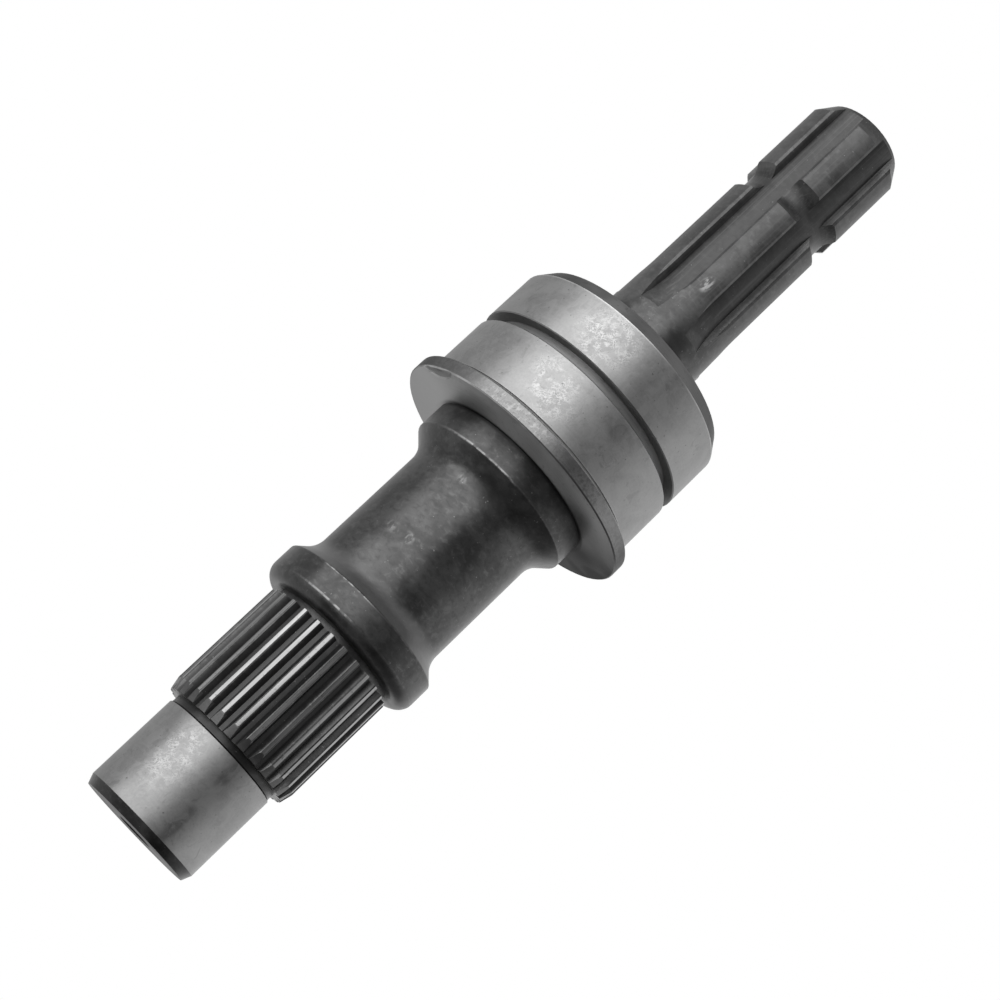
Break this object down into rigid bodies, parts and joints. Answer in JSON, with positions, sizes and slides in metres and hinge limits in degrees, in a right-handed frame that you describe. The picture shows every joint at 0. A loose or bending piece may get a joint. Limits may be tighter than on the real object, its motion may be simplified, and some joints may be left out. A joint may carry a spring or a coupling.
{
  "type": "stub shaft",
  "caption": "Turned steel shaft with a journal, an inner involute spline, a collar, a flange, two ground seats, and a straight-toothed output spline with a locking groove.",
  "frame": {"origin": "middle of the pilot journal's end face, the lower end that the shaft stands on", "axes": "+Z along the shaft's axis towards the output spline; one output tooth faces -Y"},
  "size_m": [0.0816, 0.0816, 0.298],
  "materials": {
    "steel": "satin"
  },
  "bodies": {
    "root": {"stub_shaft": "steel"}
  },
  "joints": []
}
